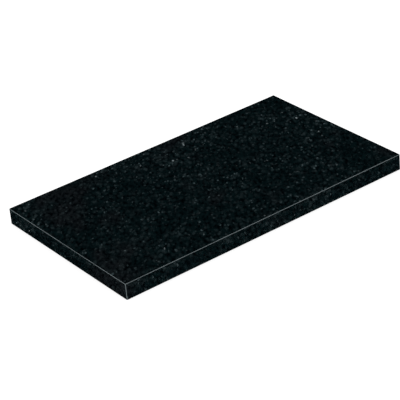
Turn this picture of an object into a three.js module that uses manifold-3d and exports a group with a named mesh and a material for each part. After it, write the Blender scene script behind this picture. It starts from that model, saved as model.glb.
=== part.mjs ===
// A flat grave slab: one plain rectangular plate of black granite that lies on the grave.
// Its top and its four sides are polished, a narrow arris is ground along the top edges and down the
// four upright corners, and the underside is left as the saw cut it.
// Millimetres, +Z up. The origin is at the middle of the underside, and X runs along the slab.
import * as THREE from "three";
import { mergeVertices } from "three/addons/utils/BufferGeometryUtils.js";
import Module from "manifold-3d";

// Driving dimensions
const slabLength = 1200;
const slabWidth = 700;
const slabThickness = 60;
const arris = 1.5; // leg of the 45 degree arris along the top edges and down the upright corners
const sawWaste = 10; // what the blank has below the underside before it is sawn off
const sawOverrun = 20; // how far the saw cut runs past the slab on every side

const blackGranite = new THREE.MeshStandardMaterial({
  name: "black_granite",
  color: new THREE.Color("rgb(10, 17, 19)"),
  roughness: 0.3,
  metalness: 0,
});

const wasm = await Module();
wasm.setup();

// A closed three.js geometry as a solid that can be cut.
function toSolid(geometry) {
  const bare = geometry.clone().deleteAttribute("normal").deleteAttribute("uv");
  const merged = mergeVertices(bare);
  const vertProperties = new Float32Array(merged.attributes.position.array);
  const triVerts = new Uint32Array(merged.index.array);
  return new wasm.Manifold(new wasm.Mesh({ numProp: 3, vertProperties, triVerts }));
}

// A cut solid as a three.js geometry again, with a flat normal on every face.
function toGeometry(solid) {
  const { vertProperties, triVerts } = solid.getMesh();
  const indexed = new THREE.BufferGeometry();
  indexed.setAttribute("position", new THREE.BufferAttribute(vertProperties, 3));
  indexed.setIndex(new THREE.BufferAttribute(triVerts, 1));
  const geometry = indexed.toNonIndexed();
  geometry.computeVertexNormals();
  return geometry;
}

// The slab seen from above: a rectangle with its four corners cut at 45 degrees, counterclockwise.
function slabOutline() {
  const x = slabLength / 2;
  const y = slabWidth / 2;
  const corners = [[1, -1], [1, 1], [-1, 1], [-1, -1]];
  const points = corners.flatMap(([sideX, sideY]) => {
    const onLongEdge = new THREE.Vector2(sideX * (x - arris), sideY * y);
    const onShortEdge = new THREE.Vector2(sideX * x, sideY * (y - arris));
    return sideX * sideY < 0 ? [onLongEdge, onShortEdge] : [onShortEdge, onLongEdge];
  });
  return new THREE.Shape(points);
}

// The blank has an arris round both faces, and reaches below the underside by the saw's waste.
function arrissedBlank() {
  const blank = new THREE.ExtrudeGeometry(slabOutline(), {
    depth: slabThickness - arris + sawWaste,
    bevelEnabled: true,
    bevelThickness: arris,
    bevelSize: arris,
    bevelOffset: -arris,
    bevelSegments: 1,
  });
  return blank.translate(0, 0, -sawWaste);
}

// What the saw takes away: everything below the underside.
function sawnOffWaste() {
  const length = slabLength + 2 * sawOverrun;
  const width = slabWidth + 2 * sawOverrun;
  const depth = sawWaste + sawOverrun;
  return new THREE.BoxGeometry(length, width, depth).translate(0, 0, -depth / 2);
}

function graveSlab() {
  const sawn = toSolid(arrissedBlank()).subtract(toSolid(sawnOffWaste()));
  const slab = new THREE.Mesh(toGeometry(sawn), blackGranite);
  slab.name = "grave_slab";
  return slab;
}

const memorial = new THREE.Group();
memorial.name = "flat_grave_slab";
memorial.add(graveSlab());

export default memorial;
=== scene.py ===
# Flat grave slab of black granite: polished top and sides, ground arrises, sawn underside.
import bpy
import math
from mathutils import Matrix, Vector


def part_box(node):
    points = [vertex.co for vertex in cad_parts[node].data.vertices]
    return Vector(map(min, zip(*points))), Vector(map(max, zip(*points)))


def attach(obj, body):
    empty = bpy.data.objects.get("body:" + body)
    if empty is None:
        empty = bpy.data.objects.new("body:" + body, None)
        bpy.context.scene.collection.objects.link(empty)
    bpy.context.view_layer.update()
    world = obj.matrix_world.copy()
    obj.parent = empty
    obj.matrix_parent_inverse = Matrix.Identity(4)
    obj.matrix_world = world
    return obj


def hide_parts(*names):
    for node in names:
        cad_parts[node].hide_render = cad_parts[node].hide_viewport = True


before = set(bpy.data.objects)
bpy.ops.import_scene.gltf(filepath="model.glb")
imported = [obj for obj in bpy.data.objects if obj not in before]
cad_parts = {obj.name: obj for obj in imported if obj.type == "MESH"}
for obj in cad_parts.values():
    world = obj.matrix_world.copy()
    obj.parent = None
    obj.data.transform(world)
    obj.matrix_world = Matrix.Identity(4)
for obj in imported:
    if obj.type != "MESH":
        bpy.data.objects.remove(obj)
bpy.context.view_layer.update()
slabLow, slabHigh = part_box("grave_slab")
slabSize = slabHigh - slabLow
print("frame loaded:", list(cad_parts), "slab is", [round(1000 * side) for side in slabSize], "mm")

white = (1.0, 1.0, 1.0, 1.0)
nodeSpacing = 200  # between nodes in the editor


# Node helpers, for shader and geometry trees alike

def plug(tree, socket, value):
    if isinstance(value, bpy.types.NodeSocket):
        tree.links.new(value, socket)
    else:
        socket.default_value = value


def addNode(tree, kind, settings=None, inputs=None):
    node = tree.nodes.new(kind)
    node.location.x = nodeSpacing * len(tree.nodes)
    for name, value in (settings or {}).items():
        setattr(node, name, value)
    for name, value in (inputs or {}).items():
        plug(tree, node.inputs[name], value)
    return node


def doMath(tree, operation, first, second=0.0, third=0.0):
    settings = {"operation": operation}
    return addNode(tree, "ShaderNodeMath", settings, {0: first, 1: second, 2: third}).outputs[0]


def doVector(tree, operation, first, second=(0.0, 0.0, 0.0)):
    settings = {"operation": operation}
    return addNode(tree, "ShaderNodeVectorMath", settings, {0: first, 1: second}).outputs[0]


def scaleVector(tree, vector, scale):
    settings = {"operation": "SCALE"}
    return addNode(tree, "ShaderNodeVectorMath", settings, {0: vector, "Scale": scale}).outputs[0]


def remap(tree, value, fromLow, fromHigh, toLow=0.0, toHigh=1.0, curve="SMOOTHSTEP"):
    inputs = {"Value": value, 1: fromLow, 2: fromHigh, 3: toLow, 4: toHigh}
    return addNode(tree, "ShaderNodeMapRange", {"interpolation_type": curve}, inputs).outputs[0]


def mixColor(tree, factor, first, second):
    return addNode(tree, "ShaderNodeMix", {"data_type": "RGBA"}, {0: factor, 6: first, 7: second}).outputs[2]


def addNoise(tree, place, size, seed=None, detail=2.0, roughness=0.5):
    scale = doMath(tree, "DIVIDE", 1.0, size)
    inputs = {"Vector": place, "Scale": scale, "Detail": detail, "Roughness": roughness}
    if seed is None:
        return addNode(tree, "ShaderNodeTexNoise", None, inputs).outputs
    return addNode(tree, "ShaderNodeTexNoise", {"noise_dimensions": "4D"}, {**inputs, "W": seed}).outputs


def objectPlace(tree):
    return addNode(tree, "ShaderNodeTexCoord").outputs["Object"]


def newGroup(name, treeType, inputs, outputs):
    tree = bpy.data.node_groups.new(name, treeType)
    for label, kind, value in inputs:
        socket = tree.interface.new_socket(label, in_out="INPUT", socket_type="NodeSocket" + kind)
        if value is not None:
            socket.default_value = value
    for label, kind in outputs:
        tree.interface.new_socket(label, in_out="OUTPUT", socket_type="NodeSocket" + kind)
    given = addNode(tree, "NodeGroupInput")
    result = addNode(tree, "NodeGroupOutput")
    return tree, given.outputs, result.inputs


# Grain that runs through the whole stone: a mottled ground, crystals of two sizes, pale flecks, slow drift

stoneGrain = {
    "Mottle": 0.0110,  # sizes are in metres
    "Mottle Low": 0.32,  # levels of the noise where the ground is darkest and lightest
    "Mottle High": 0.68,
    "Coarse": 0.0120,
    "Medium": 0.0070,
    "Medium Place": (2.1, 0.1, 0.8),  # which part of the pattern of medium crystals lies in the slab
    "Edge": 0.8,  # where a crystal has faded out, in cells from its middle
    "Heart": 0.15,  # where it is at its brightest
    "Coarse Contrast": 2.0,  # the higher, the fewer crystals are bright
    "Medium Contrast": 24.0,
    "Rarity": 120.0,  # the higher, the fewer medium crystals are pale flecks
    "Coarse Share": 0.24,  # how strongly each size shows
    "Medium Share": 0.82,
    "Cluster": 0.16,  # bright crystals come in clusters of about this size
    "Cluster Seed": 983.0,
    "Cluster Low": 0.3,  # levels of the noise between clusters and in the middle of one
    "Cluster High": 0.7,
    "Cluster Share": 0.8,  # how much the crystals gain in a cluster, and lose between clusters
    "Nest Low": 0.52,  # the pale flecks keep closer to the clusters than the other crystals
    "Nest High": 0.62,
    "Stray": 0.1,  # how bright a fleck is outside a cluster
    "Drift": 0.34,  # size of the patches where the stone drifts to brown
    "Drift Seed": 106.0,
    "Brown Low": 0.53,  # levels of the noise where the brown sets in and where it is full
    "Brown High": 0.66,
    "Fade": 0.35,  # how much weaker the crystals are where the stone is brown
}
patchDetail = 3.0  # finer noise that breaks the clusters and patches up
patchRoughness = 0.8  # how strong that finer noise is
noiseMiddle = (0.5, 0.5, 0.5)


def makeGrainGroup():
    inputs = [("Vector", "Vector", None)]
    for label, value in stoneGrain.items():
        inputs.append((label, "Vector" if isinstance(value, tuple) else "Float", value))
    outputs = [("Mottle", "Float"), ("Tone", "Float"), ("Fleck", "Float"), ("Brown", "Float")]
    tree, given, result = newGroup("stoneGrain", "ShaderNodeTree", inputs, outputs)
    place = given["Vector"]

    # the ground between the crystals
    mottle = addNoise(tree, place, given["Mottle"])[0]
    mottled = remap(tree, mottle, given["Mottle Low"], given["Mottle High"], curve="LINEAR")
    plug(tree, result["Mottle"], mottled)

    # crystals have ragged edges, so the place is stirred a little first
    stir = addNoise(tree, place, given["Coarse"])["Color"]
    shift = doVector(tree, "SUBTRACT", stir, noiseMiddle)
    stirred = doVector(tree, "ADD", place, scaleVector(tree, shift, given["Coarse"]))

    def crystals(where, size):
        inputs = {"Vector": where, "Scale": doMath(tree, "DIVIDE", 1.0, size)}
        cell = addNode(tree, "ShaderNodeTexVoronoi", None, inputs).outputs
        chance = addNode(tree, "ShaderNodeSeparateColor", None, {0: cell["Color"]}).outputs
        return remap(tree, cell["Distance"], given["Edge"], given["Heart"]), chance

    def brightest(heart, chance, contrast):
        return doMath(tree, "MULTIPLY", heart, doMath(tree, "POWER", chance, contrast))

    coarseHeart, coarseChance = crystals(stirred, given["Coarse"])
    mediumPlace = doVector(tree, "ADD", stirred, given["Medium Place"])
    mediumHeart, mediumChance = crystals(mediumPlace, given["Medium"])
    coarse = brightest(coarseHeart, coarseChance[0], given["Coarse Contrast"])
    medium = brightest(mediumHeart, mediumChance[0], given["Medium Contrast"])
    fleck = brightest(mediumHeart, mediumChance[1], given["Rarity"])
    tone = doMath(tree, "MULTIPLY", coarse, given["Coarse Share"])
    tone = doMath(tree, "MULTIPLY_ADD", medium, given["Medium Share"], tone)

    def patches(size, seed):
        return addNoise(tree, place, size, seed, patchDetail, patchRoughness)[0]

    # here they crowd together, there they thin out
    cluster = patches(given["Cluster"], given["Cluster Seed"])
    few = doMath(tree, "SUBTRACT", 1.0, given["Cluster Share"])
    many = doMath(tree, "ADD", 1.0, given["Cluster Share"])
    crowd = remap(tree, cluster, given["Cluster Low"], given["Cluster High"], few, many)
    tone = doMath(tree, "MULTIPLY", tone, crowd)
    nest = remap(tree, cluster, given["Nest Low"], given["Nest High"], given["Stray"])
    fleck = doMath(tree, "MULTIPLY", fleck, nest)

    # slowly, over the slab, the ground turns from green to brown and the crystals fade
    drift = patches(given["Drift"], given["Drift Seed"])
    brown = remap(tree, drift, given["Brown Low"], given["Brown High"])
    clear = doMath(tree, "SUBTRACT", 1.0, doMath(tree, "MULTIPLY", brown, given["Fade"]))
    plug(tree, result["Tone"], doMath(tree, "MULTIPLY", tone, clear))
    plug(tree, result["Fleck"], doMath(tree, "MULTIPLY", fleck, clear))
    plug(tree, result["Brown"], brown)
    return tree


grainGroup = makeGrainGroup()


# Finishes of the stone: polished on the top and sides, ground on the arrises, sawn underneath

rift = {
    "turn": (0.0, 0.511, 0.962),  # how the crystals lie in the block, in radians, askew to every face
    "stretch": (2.3, 1.0, 1.0),  # they are longer along the rift
}


def startStone(name, grainChanges=None):
    material = bpy.data.materials.new(name)
    material.use_nodes = True
    tree = material.node_tree
    tree.nodes.clear()
    turning = {"Vector": objectPlace(tree), "Rotation": rift["turn"], "Scale": rift["stretch"]}
    along = addNode(tree, "ShaderNodeMapping", {"vector_type": "TEXTURE"}, turning).outputs[0]
    grainInputs = {"Vector": along, **(grainChanges or {})}
    grain = addNode(tree, "ShaderNodeGroup", {"node_tree": grainGroup}, grainInputs).outputs
    shader = addNode(tree, "ShaderNodeBsdfPrincipled")
    addNode(tree, "ShaderNodeOutputMaterial", None, {"Surface": shader.outputs[0]})
    return material, tree, grain, shader


def addRelief(tree, shader, height, finish):
    inputs = {"Height": height, "Strength": finish["reliefStrength"], "Distance": finish["reliefDepth"]}
    relief = addNode(tree, "ShaderNodeBump", None, inputs).outputs[0]
    plug(tree, shader.inputs["Normal"], relief)


def addDullFinish(tree, shader, tone, finish):
    plug(tree, shader.inputs["Base Color"], mixColor(tree, tone, finish["dull"], finish["pale"]))
    shader.inputs["Roughness"].default_value = finish["roughness"]
    shader.inputs["Specular IOR Level"].default_value = finish["gloss"]
    addRelief(tree, shader, tone, finish)


polish = {
    "dark": (0.0, 0.0005, 0.0010, 1.0),  # the ground is mottled from nearly black
    "teal": (0.0020, 0.0066, 0.0076, 1.0),  # to a dark green
    "plum": (0.0068, 0.0086, 0.0101, 1.0),  # or, in patches, to a dark brown
    "crystal": (0.0410, 0.0620, 0.0675, 1.0),
    "fleck": (0.25, 0.30, 0.315, 1.0),
    "groundRoughness": 0.10,
    "crystalRoughness": 0.34,
    "reliefStrength": 0.08,
    "reliefDepth": 0.0002,
}


def makePolishedGranite():
    material, tree, grain, shader = startStone("polishedGranite")
    hue = mixColor(tree, grain["Brown"], polish["teal"], polish["plum"])
    ground = mixColor(tree, grain["Mottle"], polish["dark"], hue)
    body = mixColor(tree, grain["Tone"], ground, polish["crystal"])
    plug(tree, shader.inputs["Base Color"], mixColor(tree, grain["Fleck"], body, polish["fleck"]))
    low, high = polish["groundRoughness"], polish["crystalRoughness"]
    plug(tree, shader.inputs["Roughness"], remap(tree, grain["Tone"], 0.0, 1.0, low, high, "LINEAR"))
    addRelief(tree, shader, grain["Tone"], polish)
    return material


grind = {
    "dull": (0.125, 0.150, 0.158, 1.0),
    "pale": (0.190, 0.222, 0.228, 1.0),
    "roughness": 0.75,
    "gloss": 0.2,
    "reliefStrength": 0.3,
    "reliefDepth": 0.0003,
    "grain": {"Coarse": 0.006, "Medium": 0.003},  # grinding breaks the crystals up
}


def makeGroundGranite():
    material, tree, grain, shader = startStone("groundGranite", grind["grain"])
    addDullFinish(tree, shader, grain["Tone"], grind)
    return material


saw = {
    "dull": (0.045, 0.052, 0.054, 1.0),
    "pale": (0.13, 0.14, 0.14, 1.0),
    "bladeCentre": (-0.4, 1.6, 0.0),  # hub of the blade that left the arcs
    "pitch": 0.009,  # step from one arc to the next
    "arcShare": 0.3,  # how strongly the arcs show beside the grain
    "roughness": 0.8,
    "gloss": 0.2,
    "reliefStrength": 0.5,
    "reliefDepth": 0.0005,
}


def makeSawnGranite():
    material, tree, grain, shader = startStone("sawnGranite")
    fromHub = doVector(tree, "SUBTRACT", objectPlace(tree), saw["bladeCentre"])
    radius = addNode(tree, "ShaderNodeVectorMath", {"operation": "LENGTH"}, {0: fromHub}).outputs["Value"]
    phase = doMath(tree, "MULTIPLY", radius, 2 * math.pi / saw["pitch"])
    arcs = remap(tree, doMath(tree, "SINE", phase), -1.0, 1.0)
    tone = doMath(tree, "MULTIPLY_ADD", arcs, saw["arcShare"], grain["Tone"])
    addDullFinish(tree, shader, tone, saw)
    return material


finishes = {
    "Polished": makePolishedGranite(),
    "Ground": makeGroundGranite(),
    "Sawn": makeSawnGranite(),
}
print("stone finishes made:", [finish.name for finish in finishes.values()])


# The slab itself, lofted from its cut-corner outline by Geometry Nodes

slabName = "dressed_slab"
slab = {
    "Length": slabSize.x,
    "Width": slabSize.y,
    "Thickness": slabSize.z,
    "Arris": 0.0015,  # leg of the arris ground along the top edges
    "Corner Ease": 0.0015,  # leg of the cut down each upright corner
    "Cell": 0.02,  # spacing of the stations along the edges
    "Waver": 0.45,  # how far the hand-ground arris may vary, as a share of its width
    "Waver Length": 0.15,
    "Waver Low": 0.3,  # levels of the noise where the arris is narrowest and widest
    "Waver High": 0.7,
    "Waver Seed": 7.0,
    "Weld": 0.00002,  # points closer than this become one
}
squareEnough = 0.99  # a face is square to an axis where its normal has this much of it
upwards = (0.0, 0.0, 1.0)
sidewaysOnly = (1.0, 1.0, 0.0)


def makeOutlineGroup():
    inputs = [(label, "Float", None) for label in ("Length", "Width", "Corner Ease")]
    inputs += [(label, "Int", None) for label in ("Long Cuts", "Short Cuts")]
    tree, given, result = newGroup("cutCornerOutline", "GeometryNodeTree", inputs, [("Curve", "Geometry")])
    sides = {"Width": given["Length"], "Height": given["Width"]}
    rectangle = addNode(tree, "GeometryNodeCurvePrimitiveQuadrilateral", None, sides).outputs[0]
    corner = {"Curve": rectangle, "Count": 1, "Radius": given["Corner Ease"]}
    cut = addNode(tree, "GeometryNodeFilletCurve", {"mode": "POLY"}, corner).outputs[0]

    # of the eight sides, even ones are corner cuts, and odd ones are long and short in turn
    index = addNode(tree, "GeometryNodeInputIndex").outputs[0]
    turn = addNode(tree, "FunctionNodeIntegerMath", {"operation": "MODULO"}, {0: index, 1: 4}).outputs[0]
    cuts = addNode(tree, "GeometryNodeIndexSwitch", {"data_type": "INT"})
    cuts.index_switch_items.new()
    cuts.index_switch_items.new()
    plug(tree, cuts.inputs["Index"], turn)
    plug(tree, cuts.inputs["1"], given["Long Cuts"])
    plug(tree, cuts.inputs["3"], given["Short Cuts"])
    stations = {"Curve": cut, "Cuts": cuts.outputs[0]}
    plug(tree, result["Curve"], addNode(tree, "GeometryNodeSubdivideCurve", None, stations).outputs[0])
    return tree


def extrudeUp(tree, mesh, height, selection=True):
    up = addNode(tree, "FunctionNodeInputVector", {"vector": upwards}).outputs[0]
    inputs = {"Mesh": mesh, "Selection": selection, "Offset": up, "Offset Scale": height}
    return addNode(tree, "GeometryNodeExtrudeMesh", {"mode": "EDGES"}, inputs).outputs


# The outline at the sides, and the same stations again where the arris meets the top
def addOutlines(tree, given):
    outlineGroup = makeOutlineGroup()
    longCuts = doMath(tree, "DIVIDE", given["Length"], given["Cell"])
    shortCuts = doMath(tree, "DIVIDE", given["Width"], given["Cell"])

    def outline(length, width, ease):
        sizes = {"Length": length, "Width": width, "Corner Ease": ease}
        cuts = {"Long Cuts": longCuts, "Short Cuts": shortCuts}
        return addNode(tree, "GeometryNodeGroup", {"node_tree": outlineGroup}, {**sizes, **cuts}).outputs[0]

    twoLegs = doMath(tree, "MULTIPLY", given["Arris"], 2.0)
    innerLength = doMath(tree, "SUBTRACT", given["Length"], twoLegs)
    innerWidth = doMath(tree, "SUBTRACT", given["Width"], twoLegs)

    # all eight sides move in by one leg, so the corner cuts get shorter
    innerEase = doMath(tree, "MULTIPLY_ADD", given["Arris"], math.sqrt(2) - 2, given["Corner Ease"])
    foot = outline(given["Length"], given["Width"], given["Corner Ease"])
    brow = outline(innerLength, innerWidth, innerEase)
    return foot, brow


# Walls up to the arris, then the arris itself, leaning in to the inner outline
def raiseWalls(tree, given, foot, brow):
    loop = addNode(tree, "GeometryNodeCurveToMesh", None, {"Curve": foot}).outputs[0]
    station = addNode(tree, "GeometryNodeCaptureAttribute")
    station.capture_items.new("INT", "Station")
    plug(tree, station.inputs[0], loop)
    plug(tree, station.inputs[1], addNode(tree, "GeometryNodeInputIndex").outputs[0])
    wallHeight = doMath(tree, "SUBTRACT", given["Thickness"], given["Arris"])
    wall = extrudeUp(tree, station.outputs[0], wallHeight)
    arris = extrudeUp(tree, wall["Mesh"], given["Arris"], wall["Top"])
    here = addNode(tree, "GeometryNodeInputPosition").outputs[0]
    sampling = {"Geometry": brow, "Value": here, "Index": station.outputs[1]}
    inner = addNode(tree, "GeometryNodeSampleIndex", {"data_type": "FLOAT_VECTOR"}, sampling).outputs[0]

    # a hand grinder leaves the arris a little wider here and narrower there
    noise = addNoise(tree, here, given["Waver Length"], given["Waver Seed"])[0]
    narrowest = doMath(tree, "SUBTRACT", 1.0, given["Waver"])
    reach = remap(tree, noise, given["Waver Low"], given["Waver High"], narrowest, 1.0, "LINEAR")
    inset = doVector(tree, "MULTIPLY", doVector(tree, "SUBTRACT", inner, here), sidewaysOnly)
    lean = scaleVector(tree, inset, reach)
    leaning = {"Geometry": arris["Mesh"], "Selection": arris["Top"], "Offset": lean}
    leant = addNode(tree, "GeometryNodeSetPosition", None, leaning).outputs[0]
    band = addNode(tree, "GeometryNodeFlipFaces", None, {"Mesh": leant}).outputs[0]
    return band, arris["Top"]


# The top inside the arris, the underside, and everything welded into one closed solid
def closeSlab(tree, given, band, rimEdges, foot):
    rim = addNode(tree, "GeometryNodeMeshToCurve", None, {"Mesh": band, "Selection": rimEdges}).outputs[0]
    topFlat = addNode(tree, "GeometryNodeFillCurve", None, {"Curve": rim}).outputs[0]
    lift = addNode(tree, "ShaderNodeCombineXYZ", None, {"Z": given["Thickness"]}).outputs[0]
    lifting = {"Geometry": topFlat, "Translation": lift}
    top = addNode(tree, "GeometryNodeTransform", None, lifting).outputs[0]
    bottomUp = addNode(tree, "GeometryNodeFillCurve", None, {"Curve": foot}).outputs[0]
    bottom = addNode(tree, "GeometryNodeFlipFaces", None, {"Mesh": bottomUp}).outputs[0]
    whole = addNode(tree, "GeometryNodeJoinGeometry")
    for part in (band, top, bottom):
        polished = {"Geometry": part, "Material": given["Polished"]}
        plug(tree, whole.inputs[0], addNode(tree, "GeometryNodeSetMaterial", None, polished).outputs[0])
    welding = {"Geometry": whole.outputs[0], "Distance": given["Weld"]}
    closed = addNode(tree, "GeometryNodeMergeByDistance", None, welding).outputs[0]
    return addNode(tree, "GeometryNodeRealizeInstances", None, {"Geometry": closed}).outputs[0]


# The way a face looks tells its finish: slanted ones are ground, the underside is sawn
def finishFaces(tree, given, solid):
    normal = addNode(tree, "GeometryNodeInputNormal").outputs["True Normal"]
    signed = addNode(tree, "ShaderNodeSeparateXYZ", None, {0: normal}).outputs
    facing = addNode(tree, "ShaderNodeSeparateXYZ", None, {0: doVector(tree, "ABSOLUTE", normal)}).outputs
    square = doMath(tree, "MAXIMUM", facing["X"], doMath(tree, "MAXIMUM", facing["Y"], facing["Z"]))
    slanted = doMath(tree, "LESS_THAN", square, squareEnough)
    down = doMath(tree, "LESS_THAN", signed["Z"], -squareEnough)
    for label, selection in (("Ground", slanted), ("Sawn", down)):
        finish = {"Geometry": solid, "Selection": selection, "Material": given[label]}
        solid = addNode(tree, "GeometryNodeSetMaterial", None, finish).outputs[0]
    return solid


def makeSlabTree():
    inputs = [(label, "Float", value) for label, value in slab.items()]
    inputs += [(label, "Material", None) for label in finishes]
    tree, given, result = newGroup("dressedSlab", "GeometryNodeTree", inputs, [("Geometry", "Geometry")])
    foot, brow = addOutlines(tree, given)
    band, rimEdges = raiseWalls(tree, given, foot, brow)
    solid = closeSlab(tree, given, band, rimEdges, foot)
    plug(tree, result["Geometry"], finishFaces(tree, given, solid))
    return tree


def makeSlab():
    piece = bpy.data.objects.new(slabName, bpy.data.meshes.new(slabName))
    bpy.context.scene.collection.objects.link(piece)
    modifier = piece.modifiers.new("dressing", "NODES")
    modifier.node_group = makeSlabTree()
    values = {**slab, **finishes}
    for item in modifier.node_group.interface.items_tree:
        if item.in_out == "INPUT":
            modifier[item.identifier] = values[item.name]
    evaluated = piece.evaluated_get(bpy.context.evaluated_depsgraph_get())
    mesh = bpy.data.meshes.new_from_object(evaluated)
    piece.modifiers.remove(modifier)
    piece.data = mesh
    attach(piece, "root")
    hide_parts("grave_slab")
    print("slab made:", len(mesh.vertices), "vertices,", len(mesh.polygons), "faces")


makeSlab()


# Studio: one wide softbox overhead, a white floor, and a dim wall that only the polish mirrors

studio = {
    "backdrop": 1.0,  # the white behind it all, which only the camera sees
    "softboxSize": 30.0,
    "softboxHeight": 8.0,
    "softboxGlow": 1.22,
    "floorSize": 10.0,
    "floorColor": (0.5, 0.5, 0.5, 1.0),
    "floorGlow": 1.25,  # light that the floor itself throws on the sides of the slab
    "floorSeen": 0.69,  # the same as the camera sees it, so that a faint shadow is left
    "wallRadius": 12.0,
    "wallHeight": 6.0,
    "wallSides": 48,
    "wallColor": (0.92, 0.98, 1.0, 1.0),
    "wallGlow": 0.06,  # at the foot of the wall, fading out to its top
}


def makeBackdrop():
    world = bpy.data.worlds.new("backdrop")
    bpy.context.scene.world = world
    world.use_nodes = True
    background = world.node_tree.nodes["Background"]
    background.inputs["Color"].default_value = white
    background.inputs["Strength"].default_value = studio["backdrop"]
    world.cycles.sampling_method = "NONE"
    world.cycles_visibility.diffuse = False
    world.cycles_visibility.glossy = False


def makeSoftbox():
    data = bpy.data.lights.new("softbox", "AREA")
    data.size = studio["softboxSize"]
    data.energy = studio["softboxGlow"] * math.pi * studio["softboxSize"] ** 2
    softbox = bpy.data.objects.new("softbox", data)
    softbox.location.z = studio["softboxHeight"]
    softbox.visible_camera = False
    softbox.visible_glossy = False
    bpy.context.scene.collection.objects.link(softbox)


def addStage(name, corners, faces, material):
    mesh = bpy.data.meshes.new(name)
    mesh.from_pydata(corners, [], faces)
    mesh.materials.append(material)
    stage = bpy.data.objects.new(name, mesh)
    bpy.context.scene.collection.objects.link(stage)
    return stage


def makeFloor():
    material = bpy.data.materials.new("paleFloor")
    material.use_nodes = True
    tree = material.node_tree
    shader = tree.nodes["Principled BSDF"]
    shader.inputs["Base Color"].default_value = studio["floorColor"]
    shader.inputs["Roughness"].default_value = 1.0
    shader.inputs["Specular IOR Level"].default_value = 0.0
    shader.inputs["Emission Color"].default_value = white
    seen = addNode(tree, "ShaderNodeLightPath").outputs["Is Camera Ray"]
    glow = remap(tree, seen, 0.0, 1.0, studio["floorGlow"], studio["floorSeen"], "LINEAR")
    plug(tree, shader.inputs["Emission Strength"], glow)
    half = studio["floorSize"] / 2
    corners = [(-half, -half, 0.0), (half, -half, 0.0), (half, half, 0.0), (-half, half, 0.0)]
    floor = addStage("studio_floor", corners, [(0, 1, 2, 3)], material)
    floor.visible_glossy = False


def makeWall():
    material = bpy.data.materials.new("dimWall")
    material.use_nodes = True
    tree = material.node_tree
    tree.nodes.clear()
    height = addNode(tree, "ShaderNodeSeparateXYZ", None, {0: objectPlace(tree)}).outputs["Z"]
    glow = remap(tree, height, 0.0, studio["wallHeight"], studio["wallGlow"], 0.0)
    glowing = {"Color": studio["wallColor"], "Strength": glow}
    light = addNode(tree, "ShaderNodeEmission", None, glowing).outputs[0]
    addNode(tree, "ShaderNodeOutputMaterial", None, {"Surface": light})
    material.cycles.emission_sampling = "NONE"
    sides = studio["wallSides"]
    corners = []
    for side in range(sides):
        angle = 2 * math.pi * side / sides
        x = studio["wallRadius"] * math.cos(angle)
        y = studio["wallRadius"] * math.sin(angle)
        corners += [(x, y, 0.0), (x, y, studio["wallHeight"])]
    count = len(corners)
    faces = [(i, i + 1, (i + 3) % count, (i + 2) % count) for i in range(0, count, 2)]
    wall = addStage("studio_wall", corners, faces, material)
    wall.visible_camera = False
    wall.visible_diffuse = False
    wall.visible_shadow = False


makeBackdrop()
makeSoftbox()
makeFloor()
makeWall()
bpy.context.scene.view_settings.view_transform = "Standard"
print("studio made")


# Camera, from the photograph's own perspective

view = {
    "aim": (-0.0358, -0.0032, 0.0),  # where the lens axis meets the floor
    "distance": 6.133,
    "azimuth": -34.89,
    "elevation": 29.27,
    "roll": -5.68,
    "lens": 157.02,  # focal length and sensor in millimetres
    "sensor": 36.0,
}


def makeCamera():
    data = bpy.data.cameras.new("camera")
    data.sensor_width = view["sensor"]
    data.lens = view["lens"]
    camera = bpy.data.objects.new("camera", data)
    bpy.context.scene.collection.objects.link(camera)
    turn = Matrix.Rotation(math.radians(view["azimuth"]), 4, "Z")
    tilt = Matrix.Rotation(math.radians(90 - view["elevation"]), 4, "X")
    roll = Matrix.Rotation(math.radians(view["roll"]), 4, "Z")
    back = Matrix.Translation((0.0, 0.0, view["distance"]))
    camera.matrix_world = Matrix.Translation(view["aim"]) @ turn @ tilt @ roll @ back
    bpy.context.scene.camera = camera


makeCamera()
print("camera set")
